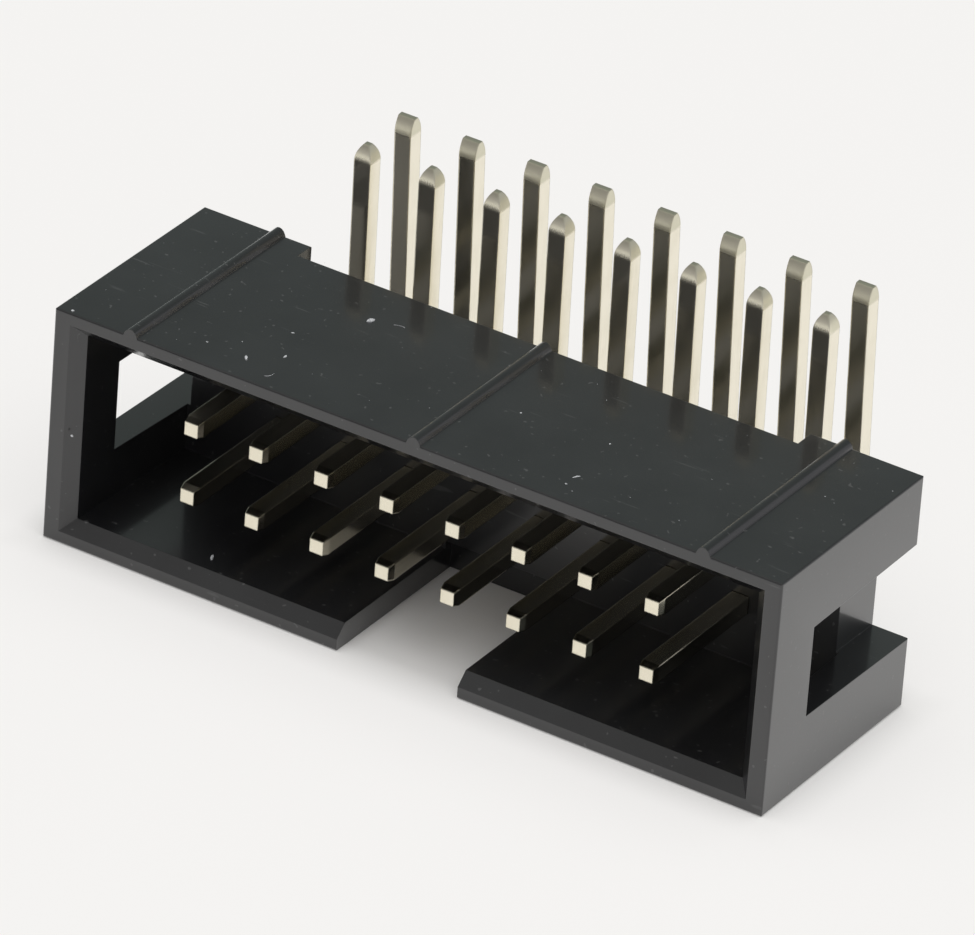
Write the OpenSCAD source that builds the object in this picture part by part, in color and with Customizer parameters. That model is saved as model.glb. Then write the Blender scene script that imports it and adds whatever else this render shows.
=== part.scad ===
// Right-angle box header, 2 rows of pins, for a flat-cable socket.
// It lies on its keyed wall: the mating face looks along -Y, the row of pins runs along X,
// and the solder tails point up, away from the face that will sit on the circuit board.

/* [Grid] */
// Number of pins in each of the two rows
pins_per_row = 8; // [3:1:13]
// Distance between neighbouring pins, and between the two rows
pitch = 2.54; // [2.3:0.02:2.8]

/* [Housing] */
// Distance from the outermost pin's centre to the end of the housing
end_space = 5.08; // [4.6:0.02:6]
// Height of the cavity between the keyed wall and the board-side wall
cavity_h = 6.94; // [6.2:0.02:8]
// Depth of the cavity, from the rim to its floor
cavity_d = 6.5; // [5:0.1:9]
// Thickness of the keyed wall and of the board-side wall
side_wall = 0.88; // [0.7:0.02:1.4]
// Thickness of the two end walls at the mouth
end_wall = 1.06; // [0.9:0.02:1.6]
// Extra thickness of each end wall at the cavity floor, where the mould's core tapers
end_taper = 0.2; // [0.05:0.05:0.4]
// Size of the bevel that leads the socket into the mouth
lead_in = 0.44; // [0.2:0.02:0.6]
// Thickness of the base that holds the pins
base_t = 1.45; // [1.1:0.05:3]
// Radius of the housing's outer edges
edge_r = 0.15; // [0.05:0.05:0.3]

/* [Feet and ribs] */
// How far the two feet stand out behind the base
foot_h = 0.85; // [0.4:0.05:1.6]
// Length of each foot along the housing
foot_len = 4.27; // [3.9:0.01:5]
// Height of the ribs that keep the housing off the board
rib_h = 0.25; // [0.15:0.05:0.35]
// Width of a rib
rib_w = 0.75; // [0.7:0.05:1.1]
// Distance from the end of the housing to the middle of the outer ribs
rib_inset = 3.07; // [2:0.01:3.3]

/* [End slots] */
// Distance from the rim to the front of an end slot
slot_front = 2.35; // [1.5:0.05:4]
// Height of an end slot at its front
slot_h = 3.34; // [2.4:0.02:4.4]
// How much an end slot opens out towards the back, at its top and again at its bottom
slot_taper = 0.12; // [0.02:0.02:0.3]
// How much further in the base's ends are than the ends of the cavity floor
base_step = 0.12; // [0.04:0.02:0.3]

/* [Key] */
// Width of the key slot
key_w = 4.7; // [4:0.1:5]
// How far the key slot runs on into the base, past the cavity floor
key_notch = 0.4; // [0.1:0.05:0.8]
// How far the key slot's cut rises above the inside of the keyed wall
key_rise = 0.3; // [0.1:0.05:0.6]
// Side of the sunk triangle that marks pin 1 on the keyed wall
mark_side = 1.6; // [1:0.1:2.2]
// Depth of that triangle
mark_d = 0.2; // [0.1:0.05:0.4]

/* [Pins] */
// Width and thickness of a pin's square wire
pin_w = 0.64; // [0.5:0.01:0.8]
// Gap all round a pin in its hole in the base
pin_gap = 0.01; // [0:0.01:0.05]
// How far the pins' mating tips lie behind the rim
tip_recess = 0.7; // [0.3:0.05:1.5]
// Width of the small bevels on a mating tip
tip_bevel = 0.07; // [0.03:0.01:0.15]
// Length of those bevels
tip_bevel_len = 0.3; // [0.1:0.05:0.6]
// Inner radius of the bend in a pin
bend_r = 0.55; // [0.3:0.05:0.9]

/* [Tails] */
// Distance from the back of the feet to the first row of holes in the board
tail_gap = 1.9; // [1.5:0.05:4]
// Length of the solder tails beyond the top of the ribs
tail_len = 3.15; // [2.4:0.05:5]
// Degrees that the short pins are bent past square
short_lean = 2; // [0:0.5:5]
// Degrees that the long pins are bent past square
long_lean = 3.7; // [0:0.1:5]
// Length of the rounded point of a tail
point_len = 0.62; // [0.3:0.02:0.9]
// Width left flat at the end of that point
point_w = 0.2; // [0.1:0.02:0.4]

/* [Hidden] */
over = 1;                                  // how far a cut runs past the face that it opens
facets = 48;
pin_count = 2 * pins_per_row;
body_l = (pins_per_row - 1) * pitch + 2 * end_space;
body_h = cavity_h + 2 * side_wall;
body_d = cavity_d + base_t + foot_h;
key_d = cavity_d + key_notch;
base_inset = end_wall + end_taper + base_step;
rib_r = (rib_w * rib_w / 4 + rib_h * rib_h) / (2 * rib_h);  // circle through the rib's feet and crest
board_z = body_h + rib_h;                  // the board's face, on the crests of the ribs
tail_top = board_z + tail_len;
short_row_y = body_d + tail_gap;
long_row_y = short_row_y + pitch;
low_row_z = body_h / 2 - pitch / 2;        // long pins, on the keyed side
high_row_z = body_h / 2 + pitch / 2;       // short pins, on the board side
wire_r = bend_r + pin_w / 2;               // radius of the bend at the middle of the wire
hole_w = pin_w + 2 * pin_gap;
point_r = (pow((pin_w - point_w) / 2, 2) + pow(point_len, 2)) / (pin_w - point_w);

// Where a pin starts to bend, so that its leaning tail meets its row of holes in the board
function bend_y(row_z, row_y, lean) =
    row_y - wire_r * cos(lean)
    + tan(lean) * (board_z - row_z - wire_r - wire_r * sin(lean));

// The tails' length above the bend
function tail_l(row_z, lean) = (tail_top - row_z - wire_r - wire_r * sin(lean)) / cos(lean);

function column_x(column) = (column - (pins_per_row - 1) / 2) * pitch;

// The long pins' bends reach furthest back, and the origin is in the middle of the whole part
back_y = bend_y(low_row_z, long_row_y, long_lean) + wire_r + pin_w / 2;

function pin_name(number) = str("pin_", number < 10 ? "0" : "", number);

// ---- helpers ----

// A rectangle about the origin with rounded corners
module rounded_rect(w, h, r) {
    square([w - 2 * r, h], center = true);
    square([w, h - 2 * r], center = true);
    for (x = [-1, 1], y = [-1, 1])
        translate([x * (w / 2 - r), y * (h / 2 - r)]) circle(r, $fn = facets);
}

// Extrudes an outline drawn in Y and Z along X, from the middle to both sides
module along_x(length) {
    translate([-length / 2, 0, 0]) rotate([90, 0, 90]) linear_extrude(length) children();
}

// Extrudes an outline drawn in X and Z along Y
module along_y(from, to) {
    translate([0, to, 0]) rotate([90, 0, 0]) linear_extrude(to - from) children();
}

// ---- housing ----

// The outer block, with every outer edge rounded
module block() {
    intersection() {
        along_y(0, body_d) translate([0, body_h / 2]) rounded_rect(body_l, body_h, edge_r);
        along_x(body_l) translate([body_d / 2, body_h / 2]) rounded_rect(body_d, body_h, edge_r);
        translate([0, body_d / 2, 0]) linear_extrude(body_h) rounded_rect(body_l, body_d, edge_r);
    }
}

// Half-round ribs on the board side, from the rim to the back
module ribs() {
    for (x = [-1, 0, 1] * (body_l / 2 - rib_inset))
        translate([x, body_d, board_z - rib_r])
            rotate([90, 0, 0]) cylinder(r = rib_r, h = body_d, $fn = facets);
}

// Half of the cavity's outline: the bevel at the mouth, then a wall that comes in by taper
function cavity_edge(half, taper) = [
    [half + lead_in + over, -over],
    [half, lead_in],
    [half - taper, cavity_d],
];

// The cavity is what its outline from above and its outline from the side share,
// so the bevels meet in mitred corners
module cavity() {
    plan = cavity_edge(body_l / 2 - end_wall, end_taper);
    side = cavity_edge(cavity_h / 2, 0);
    intersection() {
        linear_extrude(body_h) polygon(concat(
            [for (p = plan) [p.x, p.y]],
            [for (i = [len(plan) - 1 : -1 : 0]) [-plan[i].x, plan[i].y]]));
        translate([0, 0, body_h / 2]) along_x(body_l) polygon(concat(
            [for (p = side) [p.y, p.x]],
            [for (i = [len(side) - 1 : -1 : 0]) [side[i].y, -side[i].x]]));
    }
}

// One slot through both end walls, open at the back, which also trims the ends of the base
module end_slots() {
    run = body_d + over - slot_front;
    back_h = slot_h / 2 + slot_taper * run / (body_d - slot_front);
    cut_l = base_inset + over;
    for (side = [-1, 1])
        translate([side * (body_l / 2 - base_inset + cut_l / 2), slot_front, body_h / 2])
            along_x(cut_l) polygon([
                [0, -slot_h / 2], [run, -back_h], [run, back_h], [0, slot_h / 2],
            ]);
}

// The slot in the keyed wall that takes the socket's key
module key_slot() {
    translate([-key_w / 2, -over, -over])
        cube([key_w, key_d + over, side_wall + key_rise + over]);
}

// The space behind the base, between the two feet
module back_relief() {
    half = body_l / 2 - foot_len;
    translate([-half, body_d - foot_h, -over]) cube([2 * half, foot_h + over, board_z + 2 * over]);
}

// Square holes through the base, one for each pin
module pin_holes() {
    for (column = [0 : pins_per_row - 1], z = [low_row_z, high_row_z])
        translate([column_x(column) - hole_w / 2, cavity_d - over, z - hole_w / 2])
            cube([hole_w, base_t + foot_h + 2 * over, hole_w]);
}

// A sunk triangle on the outside of the keyed wall, pointing at the mouth beside pin 1
module pin_1_mark() {
    tall = mark_side * sin(60);
    translate([column_x(0), tip_recess + tall, -over]) linear_extrude(mark_d + over)
        polygon([[-mark_side / 2, 0], [0, -tall], [mark_side / 2, 0]]);
}

module housing() {
    color([0.09, 0.095, 0.1]) difference() {
        union() {
            block();
            ribs();
        }
        cavity();
        end_slots();
        key_slot();
        back_relief();
        pin_holes();
        pin_1_mark();
    }
}

// ---- pins ----

// Outline of a straight leg: as wide as the wire, and its length up from the origin
module plain_outline(length) {
    translate([-pin_w / 2, 0]) square([pin_w, length]);
}

// The same leg with a small bevel at each side of its end, as on the mating tips
module bevelled_outline(length) {
    polygon([
        [-pin_w / 2, 0], [pin_w / 2, 0],
        [pin_w / 2, length - tip_bevel_len], [pin_w / 2 - tip_bevel, length],
        [tip_bevel - pin_w / 2, length], [-pin_w / 2, length - tip_bevel_len],
    ]);
}

// The same leg with its end drawn in by two arcs that start flush with its sides
module pointed_outline(length) {
    plain_outline(length - point_len);
    intersection() {
        plain_outline(length);
        point_arc(1, length);
        point_arc(-1, length);
    }
}

// The disc whose rim draws in one side of a point
module point_arc(side, length) {
    translate([side * (pin_w / 2 - point_r), length - point_len]) circle(point_r, $fn = 2 * facets);
}

// What two outlines at right angles share: the form of a wire end that is shaped two ways
module crossed() {
    intersection() {
        rotate([90, 0, 0]) linear_extrude(pin_w, center = true) children(0);
        rotate([90, 0, 90]) linear_extrude(pin_w, center = true) children(1);
    }
}

// One bent pin: its mating leg runs along -Y at height 0, and its tail stands up behind it
module bent_pin(row_z, row_y, lean, pointed_all_round) {
    turn_y = bend_y(row_z, row_y, lean);
    leg_l = turn_y - tip_recess;
    up_l = tail_l(row_z, lean);
    translate([0, turn_y, 0]) rotate([90, 0, 0]) crossed() {
        bevelled_outline(leg_l);
        bevelled_outline(leg_l);
    }
    translate([0, turn_y, wire_r]) {
        rotate([0, 90, 0]) rotate_extrude(angle = 90 + lean, $fn = facets)
            translate([wire_r, 0]) square(pin_w, center = true);
        rotate([lean, 0, 0]) translate([0, wire_r, 0]) crossed() {
            if (pointed_all_round) pointed_outline(up_l);
            else plain_outline(up_l);
            pointed_outline(up_l);
        }
    }
}

// Odd pins are the long ones on the keyed side, even pins the short ones on the board side
module pin(number) {
    column = floor((number - 1) / 2);
    color([0.86, 0.83, 0.74]) translate([column_x(column), 0, 0])
        if (number % 2 == 1)
            translate([0, 0, low_row_z]) bent_pin(low_row_z, long_row_y, long_lean, false);
        else
            translate([0, 0, high_row_z]) bent_pin(high_row_z, short_row_y, short_lean, true);
}

// ---- the whole part, centred over the origin ----

translate([0, -back_y / 2, 0]) {
    housing();
    for (number = [1 : pin_count])
        pin(number);
}
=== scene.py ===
# %% [markdown]
# # A right-angle box header, as a lesson in Blender
# The object is a black moulded shroud that holds two rows of bent square pins. A flat-cable
# socket slides into its open front, and its pins' tails go through a circuit board. The packed
# CAD model already has every solid at its real size, so this script dresses it: it sets up the
# camera, the light and the floor, gives the plastic and the plated wire their finishes, slims
# the shroud's ribs and edges, and adds the dust and lint that lie on the real one.

# %% Load the frame
import math
import random

import bpy
from mathutils import Matrix, Vector


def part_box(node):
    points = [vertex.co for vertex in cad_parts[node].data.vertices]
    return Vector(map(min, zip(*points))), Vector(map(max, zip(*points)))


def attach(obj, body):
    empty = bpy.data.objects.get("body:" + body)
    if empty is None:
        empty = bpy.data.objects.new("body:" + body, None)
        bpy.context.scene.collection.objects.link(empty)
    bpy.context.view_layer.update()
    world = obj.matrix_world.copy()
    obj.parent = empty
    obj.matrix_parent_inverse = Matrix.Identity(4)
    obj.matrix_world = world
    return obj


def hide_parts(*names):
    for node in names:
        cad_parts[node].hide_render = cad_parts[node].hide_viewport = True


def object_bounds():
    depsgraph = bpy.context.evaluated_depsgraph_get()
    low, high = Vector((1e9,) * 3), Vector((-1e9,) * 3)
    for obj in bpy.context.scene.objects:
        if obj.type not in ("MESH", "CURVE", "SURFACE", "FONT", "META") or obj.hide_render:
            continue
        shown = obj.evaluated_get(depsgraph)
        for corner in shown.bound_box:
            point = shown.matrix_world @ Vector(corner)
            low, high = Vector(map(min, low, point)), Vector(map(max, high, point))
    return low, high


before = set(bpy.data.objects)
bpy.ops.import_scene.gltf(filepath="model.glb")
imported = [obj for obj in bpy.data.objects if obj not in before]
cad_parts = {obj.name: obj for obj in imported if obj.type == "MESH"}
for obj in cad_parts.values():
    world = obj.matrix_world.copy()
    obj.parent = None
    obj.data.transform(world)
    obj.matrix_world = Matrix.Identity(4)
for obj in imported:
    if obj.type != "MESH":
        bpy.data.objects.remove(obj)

mm = 0.001
cad_low, cad_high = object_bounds()
print("the CAD model's box, in mm:", [round(side / mm, 2) for side in cad_high - cad_low])

# %% [markdown]
# ## Where things are
# Every place in this script comes from the frame. The housing's box gives its rim, its top
# and its middle, and the pins are all the nodes that are not the housing. Each CAD node sits
# at the origin with its place in its mesh, so a distance from the housing's box is all that
# a new piece or a pattern needs. The box's top is the top of the ribs, so the height of a rib
# is taken off to reach the top face.

# %% Places taken from the frame
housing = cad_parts["housing"]
pins = [node for name, node in sorted(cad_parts.items()) if name != "housing"]
housing_low, housing_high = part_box("housing")
housing_middle = (housing_low + housing_high) / 2
rim_y = housing_low.y
back_y = housing_high.y
rib_height = 0.25 * mm
top_z = housing_high.z - rib_height
wall_thickness = 0.88 * mm
print(len(pins), "pins; the rim is at", round(rim_y / mm, 2), "mm and the top at", round(top_z / mm, 2))

# %% [markdown]
# ## Camera
# A small product is usually photographed from far away through a long lens, which keeps its
# parallel edges almost parallel. The camera stands to the right of the front and looks down,
# and it is rolled a little, as one held in the hand is. It is placed from an azimuth, an
# elevation, a distance and a roll, because those four numbers say what the photographer did,
# where a matrix of sixteen would not.

# %% Camera
camera_azimuth = math.radians(30.398)
camera_elevation = math.radians(30.171)
camera_roll = math.radians(-4.419)
camera_distance = 396.787 * mm
camera_lens = 448.64
aim = housing_middle + Vector((-0.301, 0.944, 0.798)) * mm


def place_camera():
    """Looks at the aim point from the azimuth, elevation and distance, then rolls."""
    toward_camera = Vector((
        math.sin(camera_azimuth) * math.cos(camera_elevation),
        -math.cos(camera_azimuth) * math.cos(camera_elevation),
        math.sin(camera_elevation),
    ))
    level = Vector((0, 0, 1)).cross(toward_camera).normalized()
    upright = toward_camera.cross(level)
    right = math.cos(camera_roll) * level - math.sin(camera_roll) * upright
    up = toward_camera.cross(right)
    turn = Matrix((right, up, toward_camera)).transposed()
    data = bpy.data.cameras.new("camera")
    data.lens = camera_lens
    data.clip_start = 10 * mm
    data.clip_end = 10
    camera = bpy.data.objects.new("camera", data)
    camera.matrix_world = Matrix.Translation(aim + toward_camera * camera_distance) @ turn.to_4x4()
    bpy.context.scene.collection.objects.link(camera)
    bpy.context.scene.camera = camera
    return camera


camera = place_camera()
bpy.context.scene.view_settings.view_transform = "Standard"
print("camera at", [round(part / mm, 1) for part in camera.location], "mm")

# %% [markdown]
# ## Shader maths as Python
# A finish is a formula: this much grain, plus that much scuffing, times a mask. Wiring Math
# nodes by hand hides the formula, so one small class wraps a socket and lets an ordinary
# Python expression add the nodes.

# %% A socket that takes part in expressions
class Wire:
    """A value that changes over a surface. Maths on it adds Math nodes to its graph."""

    def __init__(self, graph, socket):
        self.graph = graph
        self.socket = socket

    def maths(self, operation, first, second=0.0, clamp=False):
        """Adds one Math node."""
        settings = {"operation": operation, "use_clamp": clamp}
        return self.graph.node("ShaderNodeMath", settings, {0: first, 1: second})

    def __add__(self, other):
        return self.maths("ADD", self, other)

    def __sub__(self, other):
        return self.maths("SUBTRACT", self, other)

    def __rsub__(self, other):
        return self.maths("SUBTRACT", other, self)

    def __mul__(self, other):
        return self.maths("MULTIPLY", self, other)

    def __truediv__(self, other):
        return self.maths("DIVIDE", self, other)

    __radd__ = __add__
    __rmul__ = __mul__

    def above(self, edge, soft):
        """0 below the edge and 1 past it, with a ramp of the soft width between."""
        return self.maths("ADD", (self - edge) / soft, 0.0, clamp=True)

    def below(self, edge, soft):
        """The reverse: 1 below the edge."""
        return 1 - self.above(edge, soft)

    def size(self):
        """The value without its sign."""
        return self.maths("ABSOLUTE", self)

    def most(self, other):
        """The larger of two values."""
        return self.maths("MAXIMUM", self, other)


print("maths on a socket:", ", ".join(name for name in vars(Wire) if not name.startswith("__")))

# %% [markdown]
# Every other node comes from one method of the tree. It sets the node's own settings first and
# its sockets after, because a setting can change the sockets. The short methods below it name
# what the finishes share: a place, one coordinate of it, a stretched pattern, noise and a blend.

# %% A node tree with one method that makes nodes
class Graph:
    """A material's or the world's node tree."""

    def __init__(self, owner):
        owner.use_nodes = True
        self.tree = owner.node_tree
        self.tree.nodes.clear()

    def node(self, kind, settings=None, sockets=None, out=0):
        """Adds a node: its settings first, then its sockets. Wraps the output that is asked for."""
        made = self.tree.nodes.new(kind)
        for name, value in (settings or {}).items():
            setattr(made, name, value)
        for name, value in (sockets or {}).items():
            if isinstance(value, Wire):
                self.tree.links.new(value.socket, made.inputs[name])
            else:
                made.inputs[name].default_value = value
        return Wire(self, made.outputs[out]) if made.outputs else None

    def place(self):
        """Where a point is on the object, in metres."""
        return self.node("ShaderNodeTexCoord", out="Object")

    def along(self, vector, axis, unit=mm):
        """One coordinate of a place, in millimetres, or of a direction where the unit is 1."""
        return self.node("ShaderNodeSeparateXYZ", None, {0: vector}, out=axis) / unit

    def stretch(self, vector, scale, turn=(0.0, 0.0, 0.0)):
        """The place turned and squeezed, so that a pattern on it runs in one direction."""
        sockets = {"Vector": vector, "Scale": scale, "Rotation": turn}
        return self.node("ShaderNodeMapping", {"vector_type": "POINT"}, sockets)

    def noise(self, vector, size, detail):
        """Cloudy noise around 0.5, with features of about the given size."""
        sockets = {"Vector": vector, "Scale": 1 / size, "Detail": detail}
        return self.node("ShaderNodeTexNoise", None, sockets)

    def blend(self, factor, first, second):
        """Mixes two colours."""
        sockets = {0: factor, 6: first, 7: second}
        return self.node("ShaderNodeMix", {"data_type": "RGBA"}, sockets, out=2)


def grey(level, red=0.0, blue=0.0):
    """A colour near a grey of that level, in linear light."""
    return (level + red, level, level + blue, 1.0)


print("graph methods:", ", ".join(name for name in vars(Graph) if not name.startswith("_")))

# %% [markdown]
# ## Floor
# The header lies on a pale table. The floor is a plain surface that keeps a faint shadow.
# Part of its brightness is its own, for the camera and for what polished metal mirrors, so
# that it stays near white without lamps that would wash out the black plastic. Under the
# header and close to it the floor has none of its own, so the contact shadow stays whole.

# %% Floor
floor_size = 6
floor_drop = 0.02 * mm
floor_colour = (0.905, 0.893, 0.880, 1.0)
floor_glow = 0.7
glow_start = -0.8
glow_distance = 2.2


def make_floor():
    """A wide plane just under the header, whose own glow starts at a distance in mm from its box."""
    bpy.ops.mesh.primitive_plane_add(size=floor_size, location=(0, 0, -floor_drop))
    floor = bpy.context.object
    floor.name = "floor"
    finish = bpy.data.materials.new("pale_floor")
    graph = Graph(finish)
    seen = graph.node("ShaderNodeLightPath", out="Is Camera Ray")
    mirrored = graph.node("ShaderNodeLightPath", out="Is Glossy Ray")
    through = graph.node("ShaderNodeLightPath", out="Is Transmission Ray")
    shown = (seen + mirrored + through).above(0.0, 1.0)
    half = (housing_high - housing_low) / (2 * mm)
    past_ends = graph.along(graph.place(), "X").size() - half.x
    past_sides = (graph.along(graph.place(), "Y") - housing_middle.y / mm).size() - half.y
    glow = shown * past_ends.most(past_sides).above(glow_start, glow_distance) * floor_glow
    lit = graph.node("ShaderNodeBsdfDiffuse", None, {"Color": floor_colour})
    own = graph.node("ShaderNodeEmission", None, {"Color": floor_colour, "Strength": 1.0})
    surface = graph.node("ShaderNodeMixShader", None, {0: glow, 1: lit, 2: own})
    graph.node("ShaderNodeOutputMaterial", None, {"Surface": surface})
    floor.data.materials.append(finish)
    return floor


floor = make_floor()
print("the", floor.name, "makes", floor_glow, "of its brightness itself, away from the header")

# %% [markdown]
# ## Light
# Black plastic shows mostly what it mirrors, so the surroundings decide how its faces read.
# The room is painted by direction. Behind and to the left it is a dark green-grey, which is
# what the top mirrors. In front it is paler, and the ceiling is as pale. Low on the right is
# the palest part, a window, which the edges and the right side of each tail pick up. A dark
# flag hangs in front and to the left, above: the upright tails mirror it in the top face, and
# so they leave dark streaks there.

# %% World
front_edge = -0.25
front_soft = 0.5
window_side = 0.15
window_side_soft = 0.3
window_top = 0.38
window_top_soft = 0.08
ceiling_start = 0.70
ceiling_tilt = 0.1
ceiling_soft = 0.12
flag_direction = (-0.437, -0.746, 0.503)
flag_half_angle = math.radians(12)
flag_soft = 0.015
room_colour = (0.205, 0.232, 0.222, 1.0)
front_colour = (0.40, 0.39, 0.40, 1.0)
window_colour = (0.50, 0.50, 0.52, 1.0)
flag_colour = (0.05, 0.05, 0.045, 1.0)
ceiling_colour = (0.42, 0.42, 0.40, 1.0)


def make_world():
    """Paints the room, then the front, the window, the ceiling and the flag over it."""
    world = bpy.data.worlds.new("studio")
    bpy.context.scene.world = world
    graph = Graph(world)
    direction = graph.node("ShaderNodeTexCoord", out="Generated")
    across = graph.along(direction, "X", 1.0)
    away = graph.along(direction, "Y", 1.0)
    height = graph.along(direction, "Z", 1.0)
    room = graph.blend(away.below(front_edge, front_soft), room_colour, front_colour)
    window = across.above(window_side, window_side_soft) * height.below(window_top, window_top_soft)
    room = graph.blend(window, room, window_colour)
    ceiling = height.above(away * ceiling_tilt + ceiling_start, ceiling_soft)
    room = graph.blend(ceiling, room, ceiling_colour)
    pair = {0: direction, 1: flag_direction}
    toward_flag = graph.node("ShaderNodeVectorMath", {"operation": "DOT_PRODUCT"}, pair, out="Value")
    room = graph.blend(toward_flag.above(math.cos(flag_half_angle), flag_soft), room, flag_colour)
    light = graph.node("ShaderNodeBackground", None, {"Color": room, "Strength": 1.0})
    graph.node("ShaderNodeOutputWorld", None, {"Surface": light})


make_world()
print("behind and to the left the room is", room_colour[:3], "and in front", front_colour[:3])

# %% [markdown]
# One wide lamp overhead adds the soft light that falls on everything. It stays out of what
# glossy faces mirror: the world alone says what they show, and the rounded ends of the tails
# keep their soft, middling tone.

# %% Lamp
def softbox(name, direction, distance, width, depth, power):
    """A wide lamp that faces the header from that direction."""
    data = bpy.data.lights.new(name, "AREA")
    data.shape = "RECTANGLE"
    data.size = width
    data.size_y = depth
    data.energy = power
    lamp = bpy.data.objects.new(name, data)
    lamp.location = housing_middle + Vector(direction).normalized() * distance
    lamp.rotation_euler = Vector(direction).to_track_quat("Z", "Y").to_euler()
    lamp.visible_glossy = False
    bpy.context.scene.collection.objects.link(lamp)
    return lamp


overhead = softbox("overhead", direction=(0.1, -0.1, 1.0), distance=0.5, width=0.7, depth=0.7, power=2.8)
print("the", overhead.name, "lamp gives", overhead.data.energy, "watts")

# %% [markdown]
# ## The black plastic
# The shroud is moulded in black, glass-filled plastic. Its skin is semi-gloss: it mirrors
# softly, more so at a low angle, and its fine grain scatters a little light. Handling leaves
# faint clouds, specks and hairline scuffs. The finish is one Principled shader under a thin
# clear coat: the coat is the smooth skin, and the layer below is the filled plastic. The
# moulding's inner edges are rounded by a hair, which the Bevel node gives to the shading.

# %% Black plastic
plastic_dark = grey(0.009, 0.0, 0.001)
plastic_light = grey(0.015, -0.0005, 0.001)
scuff_colour = grey(0.10)
cloud_size = 2.6 * mm
grain_size = 0.07 * mm
scuff_width = 0.22 * mm
scuff_stretch = (0.12, 1.6, 1.0)
scuff_turn = (0.0, 0.0, 0.6)
scuff_patch = 1.4 * mm
speck_size = 0.16 * mm
plastic_roughness = 0.26
plastic_bump = 0.004 * mm
inner_edge_radius = 0.05 * mm


def make_plastic():
    """Clouded black with scuffs and specks, under a clear coat."""
    finish = bpy.data.materials.new("black_plastic")
    graph = Graph(finish)
    place = graph.place()
    cloud = graph.noise(place, cloud_size, 3.0)
    grain = graph.noise(place, grain_size, 3.0)
    hairline = graph.noise(graph.stretch(place, scuff_stretch, scuff_turn), scuff_width, 1.0)
    patch = graph.noise(place, scuff_patch, 1.0)
    scuffs = hairline.above(0.70, 0.05) * patch.above(0.52, 0.08)
    specks = graph.noise(place, speck_size, 0.0).above(0.80, 0.03)
    marks = (scuffs * 0.35 + specks * 0.5).above(0.0, 1.0)
    colour = graph.blend(cloud.above(0.3, 0.4), plastic_dark, plastic_light)
    colour = graph.blend(marks, colour, scuff_colour)
    rough = plastic_roughness + cloud * 0.08 + grain * 0.06 + marks * 0.3
    edges = graph.node("ShaderNodeBevel", {"samples": 6}, {"Radius": inner_edge_radius})
    bump = {"Strength": 0.25, "Distance": plastic_bump, "Height": grain + marks, "Normal": edges}
    surface = graph.node("ShaderNodeBsdfPrincipled", None, {
        "Base Color": colour,
        "Roughness": rough,
        "IOR": 1.5,
        "Coat Weight": 1.0,
        "Coat IOR": 1.47,
        "Coat Roughness": 0.11,
        "Normal": graph.node("ShaderNodeBump", None, bump),
    })
    graph.node("ShaderNodeOutputMaterial", None, {"Surface": surface})
    return finish


plastic = make_plastic()
housing.material_slots[0].material = plastic
print(plastic.name, "on the", housing.name)

# %% [markdown]
# ## The shroud's ribs and edges
# The moulding's standoff ribs are slimmer than the packed solid's, and its outer edges are
# crisper. This piece stands for the housing and is the same solid reworked: a copy of its
# mesh, merged, in which each rib is squeezed towards its own middle line and each rounded
# edge is squeezed towards the outer face that it runs into. Squeezing moves the points of
# the curved strips alone, so every flat face, slot and hole stays where it was. The border
# of the flat faces is marked sharp, so that they shade as flat beside the curved strips.

# %% Shroud
packed_rib_width = 0.75 * mm
real_rib_width = 0.51 * mm
rib_reach = 0.6 * packed_rib_width
packed_rib_inset = 3.07 * mm
real_rib_inset = 2.97 * mm
packed_edge_radius = 0.15 * mm
real_edge_radius = 0.08 * mm
edge_reach = 1.01 * packed_edge_radius
merge_distance = 0.0005 * mm
square_to_axis = 0.99999


def near_rib(middle):
    """A test for the points of the rib whose middle line is at that x."""
    return lambda place: abs(place.x - middle) < rib_reach and place.z > top_z - packed_edge_radius


def near_face(corner, axis, outward):
    """A test for the points just inside the outer face that passes through the corner."""
    return lambda place: 0 < outward * (corner[axis] - place[axis]) < edge_reach


def squeeze(piece, chosen, scale, centre, shift=(0, 0, 0)):
    """Scales the points that pass the test about a centre, then shifts them."""
    bpy.ops.object.mode_set(mode="EDIT")
    bpy.ops.mesh.select_all(action="DESELECT")
    bpy.ops.object.mode_set(mode="OBJECT")
    for point in piece.data.vertices:
        point.select = chosen(point.co)
    bpy.ops.object.mode_set(mode="EDIT")
    bpy.ops.transform.resize(value=scale, center_override=centre)
    bpy.ops.transform.translate(value=shift)
    bpy.ops.object.mode_set(mode="OBJECT")
    return sum(point.select for point in piece.data.vertices)


def part_flat_from_round(piece):
    """Marks the border of the faces that are square to an axis as sharp, so that they shade flat."""
    for face in piece.data.polygons:
        face.select = max(abs(part) for part in face.normal) > square_to_axis
    bpy.ops.object.mode_set(mode="EDIT")
    bpy.ops.mesh.select_mode(type="FACE")
    bpy.ops.mesh.region_to_loop()
    bpy.ops.mesh.mark_sharp()
    bpy.ops.mesh.select_mode(type="VERT")
    bpy.ops.object.mode_set(mode="OBJECT")


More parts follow.
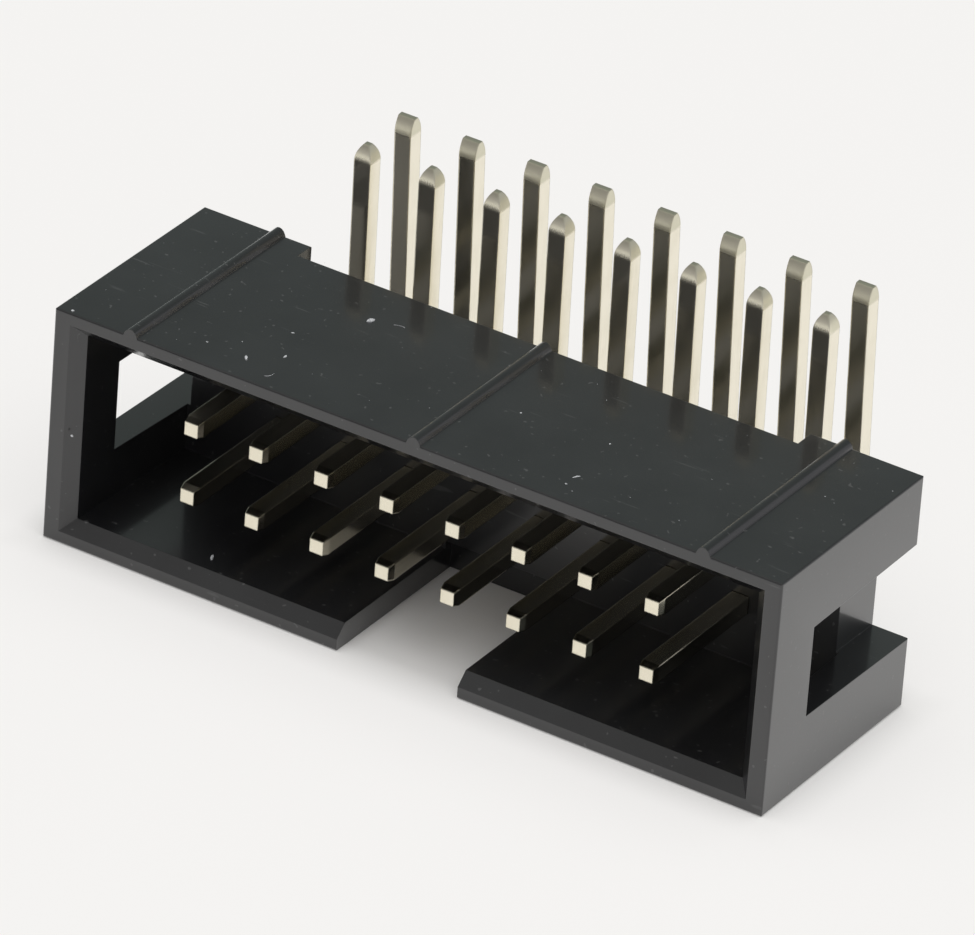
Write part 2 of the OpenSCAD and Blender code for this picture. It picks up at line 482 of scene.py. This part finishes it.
def make_shroud():
    """A copy of the housing with slimmer ribs and smaller edge radii."""
    shroud = bpy.data.objects.new("shroud", housing.data.copy())
    bpy.context.scene.collection.objects.link(shroud)
    bpy.ops.object.select_all(action="DESELECT")
    shroud.select_set(True)
    bpy.context.view_layer.objects.active = shroud
    bpy.ops.object.mode_set(mode="EDIT")
    bpy.ops.mesh.select_all(action="SELECT")
    bpy.ops.mesh.remove_doubles(threshold=merge_distance)
    bpy.ops.mesh.customdata_custom_splitnormals_clear()
    bpy.ops.object.mode_set(mode="OBJECT")
    slimmer = (real_rib_width / packed_rib_width, 1, 1)
    for side in (-1, 0, 1):
        middle = side * (housing_high.x - packed_rib_inset)
        shift = (side * (packed_rib_inset - real_rib_inset), 0, 0)
        moved = squeeze(shroud, near_rib(middle), slimmer, (middle, 0, 0), shift)
        print("rib at", round(middle / mm, 2), "mm:", moved, "points")
    top_corner = Vector((housing_high.x, back_y, top_z))
    for outward, corner in ((-1, housing_low), (1, top_corner)):
        for axis in range(3):
            tighter = Vector((1, 1, 1))
            tighter[axis] = real_edge_radius / packed_edge_radius
            squeeze(shroud, near_face(corner, axis, outward), tighter, corner)
    bpy.ops.object.shade_smooth_by_angle(angle=math.radians(30))
    part_flat_from_round(shroud)
    shroud.data.materials.clear()
    shroud.data.materials.append(plastic)
    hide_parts("housing")
    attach(shroud, "root")
    return shroud


shroud = make_shroud()
print(len(shroud.data.polygons), "faces on the", shroud.name)

# %% [markdown]
# ## The plated pins
# A pin is square brass wire that was plated with tin and then cut and bent. Tin is a bright,
# slightly warm metal, and drawing the wire leaves faint lines along it. The lines run along Y
# on the mating leg and along Z on the tail, so the finish has both and changes from one to
# the other at the bend. The tails' points were cut and pressed after plating, so there the
# metal is duller and rougher.

# %% Tin plate
tin_colour = (0.92, 0.87, 0.73, 1.0)
tin_shade = (0.84, 0.79, 0.64, 1.0)
point_colour = (0.74, 0.71, 0.56, 1.0)
point_length = 0.66
point_soft = 0.1
bend_y = back_y + 1.2 * mm
bend_soft = 0.5
line_width = 0.05 * mm
line_squeeze = 0.03
tarnish_size = 0.9 * mm
tin_roughness = 0.08
tin_bump = 0.001 * mm
wire_edge_radius = 0.08 * mm


def make_tin():
    """Bright metal with drawn lines along the wire, painted shade on the legs beside the tails, duller
    at the tails' points.
    """
    finish = bpy.data.materials.new("tin_plate")
    graph = Graph(finish)
    place = graph.place()
    leg_lines = graph.noise(graph.stretch(place, (1.0, line_squeeze, 1.0)), line_width, 2.0)
    tail_lines = graph.noise(graph.stretch(place, (1.0, 1.0, line_squeeze)), line_width, 2.0)
    on_tail = graph.along(place, "Y").above(bend_y / mm, bend_soft)
    lines = leg_lines * (1 - on_tail) + tail_lines * on_tail
    cloud = graph.noise(place, tarnish_size, 2.0)
    on_point = graph.along(place, "Z").above(cad_high.z / mm - point_length, point_soft) * on_tail
    # The legs take more of the darker tin than the tails do. That is painted shade on the legs and
    # painted light on the tails, for how the light falls on them. The lines and the clouds are the tin's
    # own duller streaks.
    dull_and_painted_shade = lines * 0.6 + cloud * 0.6 - on_tail * 0.3
    colour = graph.blend(dull_and_painted_shade.above(0.25, 0.4), tin_colour, tin_shade)
    colour = graph.blend(on_point, colour, point_colour)
    rough = tin_roughness + lines * 0.07 + cloud * 0.05 + on_point * 0.22
    edges = graph.node("ShaderNodeBevel", {"samples": 6}, {"Radius": wire_edge_radius})
    bump = {"Strength": 0.1, "Distance": tin_bump, "Height": lines, "Normal": edges}
    surface = graph.node("ShaderNodeBsdfPrincipled", None, {
        "Base Color": colour,
        "Metallic": 1 - on_tail * (cloud * 0.04 + 0.03),
        "Roughness": rough,
        "Normal": graph.node("ShaderNodeBump", None, bump),
    })
    graph.node("ShaderNodeOutputMaterial", None, {"Surface": surface})
    return finish


tin_plate = make_tin()
for pin in pins:
    pin.material_slots[0].material = tin_plate
print(tin_plate.name, "on", len(pins), "pins")

# %% [markdown]
# ## Dust and lint
# The header has been handled and has lain open, so crumbs and two curled hairs lie on it. They
# are pieces of their own, because they stand out from the plastic and catch the light as a
# painted speck would not. One dull, pale finish serves both.

# %% Dust finish
dust_dark = grey(0.36, -0.01, 0.01)
dust_pale = grey(0.66, -0.01, 0.02)
dust_cloud = 0.06 * mm


def make_dust():
    """Matt, mottled grey."""
    finish = bpy.data.materials.new("dust")
    graph = Graph(finish)
    cloud = graph.noise(graph.place(), dust_cloud, 2.0)
    colour = graph.blend(cloud.above(0.35, 0.3), dust_dark, dust_pale)
    surface = graph.node("ShaderNodeBsdfPrincipled", None, {
        "Base Color": colour,
        "Roughness": 0.7 + cloud * 0.2,
    })
    graph.node("ShaderNodeOutputMaterial", None, {"Surface": surface})
    return finish


dust_finish = make_dust()
print("dust finish:", dust_finish.name)

# %% [markdown]
# A crumb starts as a ball whose points are moved at random, and it is then pressed to its size.
# The larger crumbs are laid down one by one. A sprinkle of tiny ones falls at random places,
# from a fixed seed, so that each run gives the same dust. The joined crumbs ride on the part,
# so they would move with it.

# %% Crumbs
crumb_unevenness = 0.16
sprinkle_count = 36
sprinkle_seed = 5
sprinkle_reach = 13.7


def crumb(place, length, width, height, turn, seed):
    """A ball with its points moved at random, pressed to that size in mm and turned in degrees."""
    bpy.ops.object.select_all(action="DESELECT")
    bpy.ops.mesh.primitive_ico_sphere_add(subdivisions=1, radius=0.5)
    made = bpy.context.object
    bpy.ops.object.mode_set(mode="EDIT")
    bpy.ops.mesh.select_all(action="SELECT")
    bpy.ops.transform.vertex_random(offset=crumb_unevenness, seed=seed)
    bpy.ops.object.mode_set(mode="OBJECT")
    made.scale = Vector((length, width, height)) * mm
    made.rotation_euler.z = math.radians(turn)
    made.location = place
    bpy.ops.object.transform_apply(location=True, rotation=True, scale=True)
    return made


def on_top(x, behind_rim):
    """A place on the top face, from the middle and from the rim, in millimetres."""
    return Vector((x * mm, rim_y + behind_rim * mm, top_z))


def join(pieces, name, finish):
    """Makes one object of several and ties it to the part."""
    bpy.ops.object.select_all(action="DESELECT")
    for piece in pieces:
        piece.select_set(True)
    bpy.context.view_layer.objects.active = pieces[0]
    bpy.ops.object.join()
    whole = bpy.context.object
    whole.name = name
    whole.data.materials.clear()
    whole.data.materials.append(finish)
    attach(whole, "root")
    return whole


on_left_rim = Vector((-13.03 * mm, rim_y, 4.19 * mm))
on_cavity_floor = Vector((-8.02 * mm, rim_y + 1.13 * mm, wall_thickness))
crumbs = [
    crumb(on_top(-5.46, 5.83), 0.34, 0.20, 0.22, 60, 1),
    crumb(on_top(-7.27, 1.21), 0.36, 0.10, 0.14, 121, 2),
    crumb(on_top(-6.32, 2.07), 0.24, 0.08, 0.10, 90, 3),
    crumb(on_top(-8.84, 1.28), 0.10, 0.06, 0.04, 10, 4),
    crumb(on_top(-6.99, 3.56), 0.14, 0.07, 0.04, 40, 5),
    crumb(on_top(5.23, 1.56), 0.34, 0.07, 0.06, 60, 6),
    crumb(on_top(5.22, 0.98), 0.10, 0.07, 0.06, 0, 7),
    crumb(on_top(1.64, 3.90), 0.09, 0.07, 0.05, 0, 8),
    crumb(on_top(4.96, 4.04), 0.09, 0.07, 0.05, 50, 9),
    crumb(on_top(-13.4, 0.20), 0.14, 0.10, 0.08, 30, 10),
    crumb(on_left_rim, 0.12, 0.05, 0.10, 0, 11),
    crumb(on_cavity_floor, 0.34, 0.12, 0.24, 110, 12),
]
random.seed(sprinkle_seed)
for number in range(sprinkle_count):
    spot = on_top(random.uniform(-sprinkle_reach, sprinkle_reach), random.uniform(0.25, 8.5))
    width = random.uniform(0.015, 0.035)
    turn = 360 * random.random()
    crumbs.append(crumb(spot, width * 1.6, width, width * 0.6, turn, number))
dust = join(crumbs, "dust", dust_finish)
print(len(dust.data.polygons), "faces of", dust.name)

# %% [markdown]
# A hair is a thin ring with part of it cut away and its ends closed, squeezed and turned. A
# curve with a round bevel would look the same, but the ring is a mesh from the start, so it
# joins with the other hair as it is.

# %% Hairs
hair_radius = 0.010
ring_segments = 48
hair_sides = 6


def hair(place, curl_radius, flatten, share, turn):
    """A thin ring with only a share of it left, squeezed and turned, lying at that place."""
    bpy.ops.object.select_all(action="DESELECT")
    bpy.ops.mesh.primitive_torus_add(
        major_radius=1,
        minor_radius=hair_radius / curl_radius,
        major_segments=ring_segments,
        minor_segments=hair_sides,
    )
    made = bpy.context.object
    bpy.ops.object.mode_set(mode="EDIT")
    bpy.ops.mesh.select_all(action="DESELECT")
    bpy.ops.object.mode_set(mode="OBJECT")
    for point in made.data.vertices:
        point.select = math.atan2(point.co.y, point.co.x) > math.pi * (2 * share - 1)
    bpy.ops.object.mode_set(mode="EDIT")
    bpy.ops.mesh.delete(type="VERT")
    bpy.ops.mesh.select_all(action="SELECT")
    bpy.ops.mesh.fill_holes(sides=hair_sides)
    bpy.ops.object.mode_set(mode="OBJECT")
    made.scale = Vector((curl_radius, curl_radius * flatten, curl_radius)) * mm
    made.rotation_euler.z = math.radians(turn)
    made.location = place + Vector((0, 0, hair_radius * mm))
    bpy.ops.object.transform_apply(location=True, rotation=True, scale=True)
    bpy.ops.object.shade_smooth()
    return made


hairs = [
    hair(on_top(-6.1, 0.80), 0.20, 0.5, 0.40, 70),
    hair(on_top(-4.55, 6.05), 0.26, 0.4, 0.35, 200),
]
lint = join(hairs, "lint", dust_finish)
print(len(lint.data.polygons), "faces of", lint.name)

# %% [markdown]
